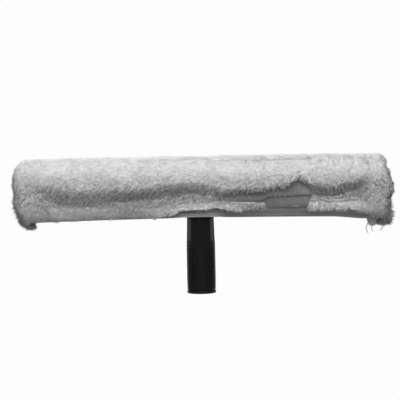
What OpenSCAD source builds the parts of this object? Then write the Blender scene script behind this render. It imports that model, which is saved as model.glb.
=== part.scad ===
// Window scrubber: a T handle with a plush sleeve closed by a hook-and-loop flap.
// The bar lies along X, the handle hangs down along -Z, and the flap faces -Y.
// The origin is the centre of the socket's mouth, in the foot of the handle.

/* [Handle] */
// Length of handle below the hem of the sleeve
handle_reach = 91; // [75:1:160]
// Largest radius of the handle, in the grip
grip_radius = 17.2; // [16:0.1:20]
// Radius of the handle where it enters the sleeve
neck_radius = 16.1; // [14.5:0.1:16.1]
// Distance across the eight flats above the grip, halved
flat_radius = 15.5; // [14.5:0.1:16]
// Radius of the rolled lip round the foot
lip_radius = 17.5; // [16:0.1:21]
// Height of the rolled lip
lip_height = 3.6; // [2:0.1:6]
// Radius of the bore for an extension pole
socket_radius = 12.5; // [10:0.1:13]
// Depth of the bore for an extension pole
socket_depth = 60; // [40:1:70]

/* [Grip panels] */
// Number of ribs on each panel
rib_count = 14; // [6:1:18]
// Distance from one rib to the next
rib_pitch = 3.15; // [2.5:0.05:3.6]
// Width of a rib at its crest
rib_crest = 1.1; // [0.6:0.1:1.6]
// Height of a rib above the panel
rib_height = 0.8; // [0.4:0.1:1.2]
// Thickness of a panel under its ribs
panel_thickness = 1; // [0.6:0.1:1.4]
// Angle from the middle of the front to the edge of a panel
spine_angle = 14; // [8:1:20]
// Angle that a panel covers
panel_angle = 45; // [30:1:60]
// Angle of the groove that splits a panel
groove_angle = 2.5; // [1:0.5:4]
// Height of the lowest rib above the mouth
panel_foot = 9.5; // [8:0.5:16]

/* [Crossbar] */
// Length of the crossbar
bar_length = 416; // [240:2:520]
// Height of the crossbar's section
bar_height = 44; // [36:1:54]
// Thickness of the crossbar's section
bar_thickness = 22; // [18:0.5:26]
// Wall of the crossbar
bar_wall = 2; // [1.5:0.1:3]
// Number of water slots on each side of the handle
slot_count = 5; // [2:1:6]
// Length of a water slot
slot_length = 24; // [12:1:30]
// Width of a water slot
slot_width = 3.6; // [2:0.1:4]
// Thickness of an end cap outside the bar
cap_flange = 3.2; // [2:0.1:5]
// Length of an end cap inside the bar
cap_plug = 14; // [8:1:24]
// Wall of an end cap inside the bar
cap_wall = 2; // [1.2:0.1:3]

/* [Saddle] */
// Half the length of bar that the saddle clasps
saddle_reach = 30; // [24:1:40]
// Height of the saddle's cheeks above the foot of the bar
saddle_rise = 31; // [26:1:33]
// Thickness of a cheek
cheek = 3; // [2.5:0.1:4]
// Distance of the screws from the handle's axis
screw_offset = 19; // [14:1:22]
// Radius of a screw
screw_radius = 1.95; // [1.5:0.05:2.4]
// Radius of a screw's countersunk head
screw_head = 3.8; // [3.2:0.1:4.4]

/* [Sleeve] */
// Height of plush on the body of the sleeve
pile_height = 12; // [9:0.5:14]
// Height of plush on the lip below the valley
lip_pile = 5.4; // [4:0.2:7]
// Height of plush in the valley, where the sleeve closes
valley_pile = 2.4; // [2:0.1:3]
// Thickness of the ground cloth
cloth = 1.2; // [0.8:0.1:1.6]
// Thickness of the hem tapes
hem_tape = 1.4; // [0.8:0.1:2]
// Height of the hem
hem_height = 8.5; // [6:0.5:11]
// Drop of the hem at the ends, below its middle
hem_droop = 3; // [0:0.5:6]
// Distance from the hem to the foot of the bar
hem_drop = 16; // [14:0.5:22]
// Room along the bar, all of it pushed to the right end
sleeve_slack = 9.6; // [0:0.2:16]
// Thickness of the sewn plush end
end_pile = 13.2; // [10:0.2:18]
// Half the length of the eye that the handle opens in the hems
eye_reach = 46; // [42:1:90]

/* [Closure] */
// Start of the flap, from the handle's axis
flap_start = 17.5; // [14:0.5:24]
// Length of the flap
flap_length = 116; // [90:1:130]
// Height of the valley above the hem
valley_rise = 26; // [24:0.5:28]
// Height of the fold above the valley, along the cloth
flap_width = 25.6; // [22:0.2:30]
// Start of the loop patch, from the handle's axis
patch_start = 64; // [44:1:70]
// Length of the loop patch
patch_length = 60; // [20:1:62]
// Width of the loop patch above the valley
patch_cover = 12; // [8:0.5:16]
// Thickness of the loop patch
loop_thickness = 1.4; // [0.8:0.1:1.8]
// Thickness of the hook patch
hook_thickness = 1.2; // [0.8:0.1:1.6]
// Thickness of the flap's lining
lining = 0.8; // [0.5:0.1:1.2]

/* [Hidden] */

black = [0.07, 0.07, 0.075];
rubber = [0.11, 0.11, 0.115];
alloy = [0.72, 0.74, 0.76];
steel = [0.55, 0.56, 0.58];
plush = [0.93, 0.93, 0.92];
ground = [0.66, 0.66, 0.65];
hook_grey = [0.4, 0.4, 0.41];

// Clearances
slide_gap = 0.2;
rest_gap = 0.3;
cheek_gap = 1;
neck_gap = 0.7;
flap_gap = 0.6;
press_gap = 0.4;
seam_gap = 0.4;
nut_play = 0.05;
over = 1;
hair = 0.01;

// Levels along Z, from the mouth of the socket upwards
hem_level = handle_reach;
hem_top = hem_level + hem_height;
bar_foot = hem_level + hem_drop;
bar_middle = bar_foot + bar_height / 2;
bar_top = bar_foot + bar_height;
saddle_top = bar_foot + saddle_rise;
closing_drop = 1;
closing_level = bar_foot - closing_drop;

// Handle
core_inset = 0.4;
neck_core = bar_thickness / 2 + cheek - core_inset;
neck_slope = 6;
core_depth = 3;
panel_top = panel_foot + rib_count * rib_pitch;
grip_top = panel_top + 3;
grip_swell = 14;
grip_taper = 0.1;
lip_round = lip_height * 0.45;
lip_recess = 0.25;
lip_shoulder = 1.2;
panel_radius = grip_radius - rib_height;
panel_gap = 0.05;
panel_play = 0.3;
groove_depth = 0.3;
flats = 8;
flats_foot = grip_top + 6;
flats_top = hem_level - 2;
flats_lean = 1.5;

// Saddle
cheek_face = bar_thickness / 2 + cheek;
saddle_foot = hem_level + 6;
saddle_round = 6;
nut_across = 3.6;
nut_height = 2.2;
head_height = screw_head - screw_radius;
slot_margin = 8;

// Sleeve, measured on the outer face of the ground cloth
side_width = cheek_face + cheek_gap + cloth;
open_width = neck_radius + neck_gap + cloth;
closed_width = cloth + seam_gap;
cloth_top = bar_top + rest_gap + cloth;
arch_height = 20;
spring_level = cloth_top - arch_height;
arch_length = PI * sqrt((side_width * side_width + arch_height * arch_height) / 2);
line_length = 2 * spring_level + arch_length;
left_wall = -(bar_length / 2 + cap_flange + 2 * rest_gap);
right_wall = -left_wall + sleeve_slack;
half_cavity = (right_wall - left_wall) / 2;
cavity_middle = (right_wall + left_wall) / 2;
lip_rise = 4.5;
lip_level = hem_top + lip_rise;
lip_spread = 9;
valley_level = hem_level + valley_rise;
valley_slope = 16;
back_slope = 28;
pile_foot = 3;
sleeve_middle = (hem_level + cloth_top + pile_height) / 2;
end_bluntness = 1.11;
end_curve = end_pile * end_bluntness;

// Closure
fold_level = valley_level + flap_width;
flap_end = flap_start + flap_length;
patch_end = patch_start + patch_length;
patch_margin = 2;
patch_foot = 3;
patch_low = hem_top + patch_foot;
patch_high = valley_level + patch_cover;
hook_face = loop_thickness + press_gap;
lining_face = hook_face + hook_thickness;
pile_face = lining_face + lining;
flap_lift = 2.2;

// Hanging corners
corner_inset = 2;
corner_left_width = 9;
corner_left_drop = 8.5;
corner_right_width = 20;
corner_right_drop = 9.5;

// Spacing of the points on the sleeve
step_x = 17;
step_s = 7;
probe = 0.2;

function limited(t) = min(1, max(0, t));
function ease(t) = limited(t) * limited(t) * (3 - 2 * limited(t));
function bump(t) = abs(t) < 1 ? pow(1 - t * t, 2) : 0;

// Evenly spaced values from each break to the next, at most step apart
function stations(breaks, step) = [
    for (k = [0 : len(breaks) - 2])
        let (span = breaks[k + 1] - breaks[k], n = ceil(span / step))
            for (i = [0 : n - 1]) breaks[k] + span * i / n,
    breaks[len(breaks) - 1]
];

// Height of the hem at x, and how far the handle opens the hems there
function hem_at(x) = hem_level - hem_droop * pow((x - cavity_middle) / half_cavity, 2);
function eye(x) = 1 - ease((abs(x) - neck_radius) / (eye_reach - neck_radius));

// The cloth's line at x, as [y, z]: s is the height on the front, then runs over
// the arch, and down the back
function side_point(x, s, side) =
    let (
        low = limited((closing_level - s) / (closing_level - hem_level)),
        sink = max(0, closing_level - s) / (closing_level - hem_level),
        z = s < closing_level ? closing_level - sink * (closing_level - hem_at(x)) : s,
        hem_width = closed_width + eye(x) * (open_width - closed_width)
    )
    [side * (side_width + low * low * (hem_width - side_width)), z];
function arch_point(turn) = [-side_width * cos(turn), spring_level + arch_height * sin(turn)];
function line(x, s) =
    s <= spring_level ? side_point(x, s, -1)
    : s >= spring_level + arch_length ? side_point(x, line_length - s, 1)
    : arch_point(180 * (s - spring_level) / arch_length);
function outward(x, s) =
    let (a = line(x, s - probe), b = line(x, s + probe), t = (b - a) / norm(b - a))
    [-t[1], t[0]];

// A point at the height n above the cloth
function skin(x, s, n) = let (p = line(x, s) + n * outward(x, s)) [x, p[0], p[1]];

// Height of the plush along the line: lip, valley and body in front, plain behind
function front_pile(s) = valley_pile
    + (lip_pile - valley_pile) * bump((s - lip_level) / lip_spread)
    + (pile_height - valley_pile) * ease((s - valley_level + pile_foot) / valley_slope);
function back_pile(s) = valley_pile
    + (pile_height - valley_pile) * ease((s - hem_top + pile_foot) / back_slope);
function pile(s) = s < spring_level + arch_length / 2 ? front_pile(s) : back_pile(line_length - s);
function cover(s) = s < hem_top || line_length - s < hem_top ? hem_tape : pile(s);

// The closed sheet between two heights above the cloth, over a grid of stations;
// cells that the window takes are left out, with a wall all round them
module sheet(xs, ss, low, high, window = function(x, s) false) {
    nx = len(xs);
    ns = len(ss);
    layer = nx * ns;
    points = [
        for (height = [high, low])
            for (x = xs)
                for (s = ss) skin(x, s, height(s))
    ];
    function cell(i, j) = i >= 0 && j >= 0 && i < nx - 1 && j < ns - 1
        && !window((xs[i] + xs[i + 1]) / 2, (ss[j] + ss[j + 1]) / 2);
    function wall(p, q) = [[p, q, q + layer], [p, q + layer, p + layer]];
    faces = [
        for (i = [0 : nx - 2])
            for (j = [0 : ns - 2])
                if (cell(i, j))
                    let (a = i * ns + j, b = a + ns, c = b + 1, d = a + 1)
                        each concat(
                            [[a, d, c], [a, c, b]],
                            [[a + layer, c + layer, d + layer], [a + layer, b + layer, c + layer]],
                            cell(i, j - 1) ? [] : wall(a, b),
                            cell(i, j + 1) ? [] : wall(c, d),
                            cell(i - 1, j) ? [] : wall(d, a),
                            cell(i + 1, j) ? [] : wall(b, c)
                        )
    ];
    polyhedron(points = points, faces = faces, convexity = 6);
}

// A solid through rings of equally many points, closed by a fan at each end
module loft(rings) {
    n = len(rings[0]);
    last = len(rings) - 1;
    function centre(ring) = [for (k = [0 : 2]) [for (p = ring) p[k]] * [for (p = ring) 1] / n];
    points = concat([for (ring = rings) each ring], [centre(rings[0]), centre(rings[last])]);
    first_hub = (last + 1) * n;
    faces = concat(
        [for (r = [0 : last - 1]) for (k = [0 : n - 1])
            let (a = r * n + k, b = r * n + (k + 1) % n)
                each [[a, b, b + n], [a, b + n, a + n]]],
        [for (k = [0 : n - 1]) [first_hub, (k + 1) % n, k]],
        [for (k = [0 : n - 1]) [first_hub + 1, last * n + k, last * n + (k + 1) % n]]
    );
    polyhedron(points = points, faces = faces, convexity = 4);
}

// Crossbar section, upright, with its middle at the origin and grown by g
module bar_section(g = 0) {
    flat_height = bar_height - bar_thickness;
    square([bar_thickness + 2 * g, flat_height], center = true);
    for (side = [-1, 1])
        translate([0, side * flat_height / 2])
            circle(r = bar_thickness / 2 + g, $fn = 64);
}

// Lays a section out along X from x0, with its middle on the bar's
module along_bar(x0, length) {
    translate([x0, 0, bar_middle])
        rotate([90, 0, 90])
            linear_extrude(length) children();
}

// Outline of the turned handle, from the mouth up to its core in the saddle
module handle_profile() {
    foot_arc = [for (a = [-90 : 15 : 90])
        [lip_radius - lip_round + lip_round * cos(a), lip_height / 2 + lip_height / 2 * sin(a)]];
    polygon(concat(
        [[0, 0]],
        foot_arc,
        [
            [grip_radius - lip_recess, lip_height + lip_shoulder],
            [grip_radius, lip_height + grip_swell],
            [grip_radius - grip_taper, grip_top],
            [neck_radius, hem_level],
            [neck_core, hem_level + neck_slope],
            [neck_core, bar_foot + core_depth],
            [0, bar_foot + core_depth]
        ]
    ));
}

// Ring sector between two radii, one panel's arc wide
module panel_sector(start, turn, inner, outer, z0, z1) {
    rotate([0, 0, start])
        rotate_extrude(angle = turn, $fn = 96)
            polygon([[inner, z0], [outer, z0], [outer, z1], [inner, z1]]);
}

// The four grip panels' start angles: two in front, two behind
panel_starts = [
    for (middle = [-90, 90])
        for (side = [0, 1]) middle + (side == 0 ? spine_angle : -spine_angle - panel_angle)
];

module saddle() {
    shoulder = saddle_reach - saddle_round;
    rotate([90, 0, 0])
        translate([0, 0, -cheek_face])
            linear_extrude(2 * cheek_face) {
                polygon([
                    [-neck_core, saddle_foot],
                    [neck_core, saddle_foot],
                    [saddle_reach, bar_foot],
                    [saddle_reach, saddle_top - saddle_round],
                    [shoulder, saddle_top - saddle_round],
                    [shoulder, saddle_top],
                    [-shoulder, saddle_top],
                    [-shoulder, saddle_top - saddle_round],
                    [-saddle_reach, saddle_top - saddle_round],
                    [-saddle_reach, bar_foot]
                ]);
                for (side = [-1, 1])
                    translate([side * shoulder, saddle_top - saddle_round])
                        circle(r = saddle_round, $fn = 48);
            }
}

// Places what it is given at the two screws, pointing along +Y from the axis
module at_screws() {
    for (side = [-1, 1])
        translate([side * screw_offset, 0, bar_middle])
            rotate([-90, 0, 0]) children();
}

module handle_body() {
    color(black)
        difference() {
            union() {
                rotate_extrude($fn = 96) handle_profile();
                saddle();
            }
            translate([0, 0, -over])
                cylinder(r = socket_radius, h = socket_depth + over, $fn = 96);
            for (k = [0 : flats - 1])
                rotate([0, 0, (k + 0.5) * 360 / flats])
                    translate([flat_radius, -grip_radius, flats_foot])
                        rotate([0, -flats_lean, 0])
                            cube([grip_radius, 2 * grip_radius, flats_top - flats_foot]);
            for (start = panel_starts)
                panel_sector(start, panel_angle, panel_radius - panel_thickness, grip_radius + over,
                    panel_foot - rib_pitch, panel_top);
            along_bar(-saddle_reach - over, 2 * (saddle_reach + over)) {
                bar_section(slide_gap);
                translate([-bar_thickness / 2 - slide_gap, 0])
                    square([bar_thickness + 2 * slide_gap, bar_height]);
            }
            at_screws() {
                cylinder(r = screw_radius + slide_gap, h = 2 * cheek_face + over, center = true, $fn = 32);
                translate([0, 0, -cheek_face - hair])
                    cylinder(r1 = screw_head + slide_gap, r2 = screw_radius + slide_gap,
                        h = head_height, $fn = 32);
                translate([0, 0, cheek_face - nut_height])
                    cylinder(r = nut_across + slide_gap, h = nut_height + over, $fn = 6);
            }
        }
}

module grip_panels() {
    ribs = [for (i = [0 : rib_count - 1])
        let (z = panel_foot + i * rib_pitch, slope = (rib_pitch - rib_crest) / 4)
            each [
                [panel_radius, z - rib_crest / 2 - slope],
                [panel_radius + rib_height, z - rib_crest / 2],
                [panel_radius + rib_height, z + rib_crest / 2],
                [panel_radius, z + rib_crest / 2 + slope]
            ]
    ];
    back = panel_radius - panel_thickness + panel_gap;
    low = panel_foot - rib_pitch + 2 * panel_gap;
    high = panel_top - 2 * panel_gap;
    color(rubber)
        for (start = panel_starts)
            difference() {
                rotate([0, 0, start + panel_play])
                    rotate_extrude(angle = panel_angle - 2 * panel_play, $fn = 96)
                        polygon(concat([[back, low], [panel_radius, low]], ribs,
                            [[panel_radius, high], [back, high]]));
                panel_sector(start + (panel_angle - groove_angle) / 2, groove_angle,
                    panel_radius - groove_depth, grip_radius + over, low - over, high + over);
            }
}

module crossbar() {
    slot_run = bar_length / 2 - cap_plug - saddle_reach - 2 * slot_margin;
    slot_pitch = slot_run / slot_count;
    color(alloy)
        difference() {
            along_bar(-bar_length / 2, bar_length) bar_section();
            along_bar(-bar_length / 2 - over, bar_length + 2 * over) bar_section(-bar_wall);
            for (side = [-1, 1])
                for (k = [0 : slot_count - 1])
                    translate([side * (saddle_reach + slot_margin + (k + 0.5) * slot_pitch), 0, bar_middle])
                        rotate([90, 0, 0])
                            translate([-slot_length / 2, -slot_width / 2, -bar_thickness])
                                cube([slot_length, slot_width, 2 * bar_thickness]);
            at_screws()
                cylinder(r = screw_radius + slide_gap, h = 2 * bar_thickness, center = true, $fn = 32);
        }
}

// An end cap for the right end; the left one is its mirror image
module end_cap() {
    along_bar(bar_length / 2, cap_flange) bar_section();
    difference() {
        along_bar(bar_length / 2 - cap_plug, cap_plug) bar_section(-bar_wall - slide_gap);
        along_bar(bar_length / 2 - cap_plug - over, cap_plug + over)
            bar_section(-bar_wall - slide_gap - cap_wall);
    }
}

module end_cap_left() {
    color(black) mirror([1, 0, 0]) end_cap();
}

module end_cap_right() {
    color(black) end_cap();
}

module yoke_screws() {
    color(steel)
        at_screws() {
            translate([0, 0, -cheek_face])
                cylinder(r = screw_radius, h = 2 * cheek_face, $fn = 32);
            translate([0, 0, -cheek_face])
                cylinder(r1 = screw_head, r2 = screw_radius, h = head_height, $fn = 32);
        }
}

module yoke_nuts() {
    color(steel)
        at_screws()
            translate([0, 0, cheek_face - nut_height + nut_play])
                difference() {
                    cylinder(r = nut_across, h = nut_height - nut_play, $fn = 6);
                    translate([0, 0, -over])
                        cylinder(r = screw_radius + nut_play, h = nut_height + 2 * over, $fn = 32);
                }
}

// Stations along the sleeve and along the cloth's line
window_left = flap_start - flap_gap;
window_right = flap_end + flap_gap;
window_low = valley_level - flap_gap;
window_high = fold_level + flap_gap;
bare_left = patch_start - patch_margin;
bare_right = patch_end + patch_margin;
sleeve_xs = stations([
    left_wall, -eye_reach, -neck_radius, 0, window_left, flap_start, bare_left, patch_start,
    patch_end, bare_right, flap_end, window_right, right_wall
], step_x);
sleeve_ss = stations([
    hem_level, hem_top, patch_low, window_low, valley_level, patch_high, fold_level, window_high,
    line_length - hem_top, line_length - hem_level
], step_s);

// The stations of one piece: those of the sleeve that lie between two values
function between(list, low, high) = [
    for (value = list)
        if (value > low - hair && value < high + hair) value
];
pile_ss = between(sleeve_ss, hem_top, line_length - hem_top);
flap_xs = between(sleeve_xs, flap_start, flap_end);
flap_ss = between(sleeve_ss, valley_level, fold_level);
patch_xs = between(sleeve_xs, patch_start, patch_end);

// Where the plush is cut away: under the flap, and round the bare part of the patch
function plush_window(x, s) =
    (x > window_left && x < window_right && s > window_low && s < window_high)
    || (x > bare_left && x < bare_right && s < window_low);

module sleeve_backing() {
    color(ground)
        sheet(sleeve_xs, sleeve_ss, function(s) -cloth, function(s) 0);
}

module sleeve_pile() {
    color(plush)
        sheet(sleeve_xs, pile_ss, function(s) 0, function(s) pile(s),
            function(x, s) plush_window(x, s));
}

module hem_front() {
    color(ground)
        sheet(sleeve_xs, between(sleeve_ss, hem_level, hem_top),
            function(s) 0, function(s) hem_tape);
}

module hem_back() {
    color(ground)
        sheet(sleeve_xs, between(sleeve_ss, line_length - hem_top, line_length - hem_level),
            function(s) 0, function(s) hem_tape);
}

// A closed plush end: the sleeve's whole section, drawn in towards the tip
module sleeve_end(wall, side) {
    end_rings = 6;
    section = [for (s = sleeve_ss) skin(wall, s, cover(s))];
    function drawn(depth) = sqrt(1 - pow(depth / end_curve, 2));
    rings = [
        for (k = [0 : end_rings])
            let (depth = end_pile * sin(90 * k / end_rings), e = drawn(depth))
                [for (p = section)
                    [wall + side * depth, p[1] * e, sleeve_middle + (p[2] - sleeve_middle) * e]]
    ];
    loft(side < 0 ? [for (k = [end_rings : -1 : 0]) rings[k]] : rings);
}

module sleeve_end_left() {
    color(plush) sleeve_end(left_wall, -1);
}

module sleeve_end_right() {
    color(plush) sleeve_end(right_wall, 1);
}

module loop_patch() {
    color(ground)
        sheet(patch_xs, between(sleeve_ss, patch_low, patch_high),
            function(s) 0, function(s) loop_thickness);
}

module hook_patch() {
    color(hook_grey)
        sheet(patch_xs, between(sleeve_ss, valley_level, patch_high),
            function(s) hook_face, function(s) lining_face);
}

module flap_lining() {
    color(ground)
        sheet(flap_xs, flap_ss, function(s) lining_face, function(s) pile_face);
}

module closure_flap() {
    color(plush)
        sheet(flap_xs, flap_ss, function(s) pile_face, function(s) pile(s) + flap_lift);
}

// A corner of ground cloth that hangs below the hem, rounded and a little skewed
module hanging_corner(start, width, drop) {
    corner_points = 8;
    blunt = 0.7;
    skew = 0.12;
    outline = [for (k = [0 : corner_points])
        let (t = k / corner_points, hang = pow(sin(180 * t), blunt))
            [start + width * (t + skew * hang * (0.5 - t)), drop * hang]
    ];
    translate([0, cloth / 2, 0])
        rotate([90, 0, 0])
            linear_extrude(cloth)
                polygon([for (p = outline) [p[0], hem_at(p[0]) - slide_gap - p[1]]]);
}

module corner_left() {
    color(ground)
        hanging_corner(left_wall + corner_inset, corner_left_width, corner_left_drop);
}

module corner_right() {
    color(ground)
        hanging_corner(right_wall - corner_inset - corner_right_width, corner_right_width,
            corner_right_drop);
}

handle_body();
grip_panels();
crossbar();
end_cap_left();
end_cap_right();
yoke_screws();
yoke_nuts();
sleeve_backing();
sleeve_pile();
sleeve_end_left();
sleeve_end_right();
hem_front();
hem_back();
loop_patch();
hook_patch();
flap_lining();
closure_flap();
corner_left();
corner_right();
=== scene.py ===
"""Looks of the window scrubber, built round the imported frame.

Lengths here are in millimetres, and mesh_object() turns them into metres.
A place on the sleeve is given as (u, s, n): u runs along the bar and on over the
two ends, s is the height on the front of the cloth and then runs over the top and
down the back, and n is the height above the cloth.
"""

import itertools
import math

import bpy
import numpy as np
from mathutils import Matrix, Vector


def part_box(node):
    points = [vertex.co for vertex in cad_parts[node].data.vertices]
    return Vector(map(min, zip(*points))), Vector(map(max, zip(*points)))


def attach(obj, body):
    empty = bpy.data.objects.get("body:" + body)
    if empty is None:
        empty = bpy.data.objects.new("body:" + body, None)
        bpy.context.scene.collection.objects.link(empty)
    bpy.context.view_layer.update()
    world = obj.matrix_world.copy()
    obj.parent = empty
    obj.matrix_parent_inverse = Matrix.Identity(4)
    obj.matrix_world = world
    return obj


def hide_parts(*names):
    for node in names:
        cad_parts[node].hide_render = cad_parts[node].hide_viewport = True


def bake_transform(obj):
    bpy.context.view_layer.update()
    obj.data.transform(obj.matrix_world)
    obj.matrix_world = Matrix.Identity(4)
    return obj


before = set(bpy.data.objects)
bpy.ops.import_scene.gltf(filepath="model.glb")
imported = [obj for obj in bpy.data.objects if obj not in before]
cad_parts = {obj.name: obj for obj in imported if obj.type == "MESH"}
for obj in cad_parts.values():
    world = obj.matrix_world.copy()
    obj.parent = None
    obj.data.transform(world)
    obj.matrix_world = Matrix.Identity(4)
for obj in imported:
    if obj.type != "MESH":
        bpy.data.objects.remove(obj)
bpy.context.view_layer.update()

MM = 0.001
rng = np.random.default_rng(20)


# Camera

PICTURE = 400
PIXEL = 1.2
LENS = 75
SENSOR = 36
CAMERA_DISTANCE = PICTURE * PIXEL * LENS / SENSOR
CAMERA_HEIGHT = 111.2
CAMERA_ROLL = 1.08


def in_scene(name, data):
    made_object = bpy.data.objects.new(name, data)
    bpy.context.scene.collection.objects.link(made_object)
    return made_object


def add_camera():
    """The photograph's level view, turned a little so that the left end hangs lower."""
    data = bpy.data.cameras.new("camera")
    data.lens = LENS
    data.sensor_width = SENSOR
    camera = in_scene("camera", data)
    camera.location = (0, -CAMERA_DISTANCE * MM, CAMERA_HEIGHT * MM)
    camera.rotation_euler = (math.radians(90), math.radians(CAMERA_ROLL), 0)
    bpy.context.scene.camera = camera


# Sizes that the frame gives

def node_box(name):
    """Lowest and highest corner of a node, in millimetres."""
    low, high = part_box(name)
    return np.array(low) / MM, np.array(high) / MM


backing_low, backing_high = node_box("sleeve_backing")
flap_low, flap_high = node_box("closure_flap")
hook_low, hook_high = node_box("hook_patch")

LEFT_WALL, RIGHT_WALL = backing_low[0], backing_high[0]
CLOTH_TOP = backing_high[2]
FLAP_LEFT, FLAP_RIGHT = flap_low[0], flap_high[0]
PATCH_LEFT, PATCH_RIGHT = hook_low[0], hook_high[0]
VALLEY_LEVEL = hook_low[2]
PATCH_HIGH = hook_high[2]


# The cloth's line, as in the CAD source

HEM_LEVEL = 91.0
HEM_DROOP = 3.0
CORNER_DROOP = 2.2
CORNER_DROOP_FROM = 158.0
CORNER_DROOP_RUN = 40.0
HEM_HEIGHT = 8.5
CLOSING_LEVEL = 106.0
SIDE_WIDTH = 16.2
OPEN_WIDTH = 18.0
CLOSED_WIDTH = 1.6
NECK_RADIUS = 16.1
EYE_REACH = 46.0
ARCH_HEIGHT = 20.0
FLAP_WIDTH = 25.6
CLOTH = 1.2
HEM_TAPE = 1.4
HEM_TOP = HEM_LEVEL + HEM_HEIGHT
SPRING_LEVEL = CLOTH_TOP - ARCH_HEIGHT
ARCH_LENGTH = math.pi * math.sqrt((SIDE_WIDTH ** 2 + ARCH_HEIGHT ** 2) / 2)
LINE_LENGTH = 2 * SPRING_LEVEL + ARCH_LENGTH
LINING_FACE = 3.8
CREST = LINE_LENGTH / 2
CAVITY_MIDDLE = (LEFT_WALL + RIGHT_WALL) / 2
HALF_CAVITY = (RIGHT_WALL - LEFT_WALL) / 2
FOLD_LEVEL = VALLEY_LEVEL + FLAP_WIDTH


def ease(t):
    """Smooth step from 0 to 1."""
    t = np.clip(t, 0, 1)
    return t * t * (3 - 2 * t)


def bump(t):
    """Smooth hill of height 1 between -1 and 1."""
    return np.where(np.abs(t) < 1, (1 - np.minimum(t * t, 1)) ** 2, 0)


def course(*points):
    """A function that runs smoothly through (place, value) points."""
    places, values = (np.array(column, float) for column in zip(*points))

    def at(x):
        k = np.clip(np.searchsorted(places, x) - 1, 0, len(places) - 2)
        t = (x - places[k]) / (places[k + 1] - places[k])
        return values[k] + (values[k + 1] - values[k]) * ease(t)

    return at


def noise(points, cell, seed):
    """Smooth noise from -1 to 1 in space, with swings about a cell wide."""
    scaled = np.asarray(points, float) / cell + 17.3 * seed
    corner = np.floor(scaled).astype(np.int64)
    part = ease(scaled - corner)
    total = np.zeros(len(scaled))
    for step in itertools.product((0, 1), repeat=3):
        x, y, z = (corner + np.array(step)).T
        mixed = (x * 73856093) ^ (y * 19349663) ^ (z * 83492791)
        mixed = ((mixed ^ (mixed >> 13)) * 1274126177) & 0x7FFFFFFF
        mixed = ((mixed ^ (mixed >> 15)) * 668265263) & 0x7FFFFFFF
        weight = np.prod(np.where(np.array(step) == 1, part, 1 - part), axis=1)
        total += weight * (mixed / 0x3FFFFFFF - 1)
    return total


def noise_over(parts, cell, seed):
    """Noise over x, y and z, each an array of one shape or a single number."""
    points = np.stack(np.broadcast_arrays(*parts), axis=-1)
    return noise(points.reshape(-1, 3), cell, seed).reshape(points.shape[:-1])


def unit(v):
    return v / np.maximum(np.linalg.norm(v, axis=-1, keepdims=True), 1e-9)


def hem_at(x):
    """The level of the cloth's lower edge."""
    droop = HEM_DROOP * ((x - CAVITY_MIDDLE) / HALF_CAVITY) ** 2
    return HEM_LEVEL - droop - CORNER_DROOP * ease((x - CORNER_DROOP_FROM) / CORNER_DROOP_RUN)


def eye(x):
    """How far the handle opens the hems, from 0 to 1."""
    return 1 - ease((np.abs(x) - NECK_RADIUS) / (EYE_REACH - NECK_RADIUS))


def height_of(s):
    """How far up the front or the back of the cloth s lies."""
    return np.where(s < CREST, s, LINE_LENGTH - s)


def past_wall(u):
    """How far u lies past the nearer end of the cloth."""
    return np.maximum(LEFT_WALL - u, u - RIGHT_WALL)


def inside_flap(u):
    """How far u lies inside the flap's ends."""
    return np.minimum(u - FLAP_LEFT, FLAP_RIGHT - u)


def cloth_line(x, s):
    """The outer face of the cloth at x and s, as y and z."""
    height = height_of(s)
    side = np.where(s < CREST, -1.0, 1.0)
    share = np.maximum(0, CLOSING_LEVEL - height) / (CLOSING_LEVEL - HEM_LEVEL)
    low = np.minimum(share, 1)
    hem_width = CLOSED_WIDTH + eye(x) * (OPEN_WIDTH - CLOSED_WIDTH)
    side_y = side * (SIDE_WIDTH + low ** 2 * (hem_width - SIDE_WIDTH))
    side_z = np.where(height < CLOSING_LEVEL, CLOSING_LEVEL - share * (CLOSING_LEVEL - hem_at(x)), height)
    turn = math.pi * (s - SPRING_LEVEL) / ARCH_LENGTH
    arch = (s > SPRING_LEVEL) & (s < SPRING_LEVEL + ARCH_LENGTH)
    y = np.where(arch, -SIDE_WIDTH * np.cos(turn), side_y)
    z = np.where(arch, SPRING_LEVEL + ARCH_HEIGHT * np.sin(turn), side_z)
    return y, z


def skin(x, s, n):
    """A point at height n above the cloth."""
    probe = 0.2
    y0, z0 = cloth_line(x, s - probe)
    y1, z1 = cloth_line(x, s + probe)
    length = np.hypot(y1 - y0, z1 - z0)
    y, z = cloth_line(x, s)
    return y - n * (z1 - z0) / length, z + n * (y1 - y0) / length


# The plush: where it stands and how high

PILE = 12.0
LOW_PILE = 11.0
VALLEY_PILE = 2.2
VALLEY_LEAD = 2.0
LIP_PILE = 10.5
LIP_HALF = 12.0
LIP_PUFFS = 0.22
LIP_WAVES = 1.4
FLAP_LIFT = 1.8
FLAP_RIM = 8.0
TOP_RUN = 16.0
HEM_PILE = 2.5
HEM_SUNK = 9.0
HEM_RUN = 13.0
BACK_SUNK = 6.0
BACK_SLOPE = 26.0
END_HEM_PILE = 8.0
END_SLOPE = 30.0
END_RUN = 12.0
END_ARC = 22.0
BROAD_SWELL = 0.9
FINE_SWELL = 0.7

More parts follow.
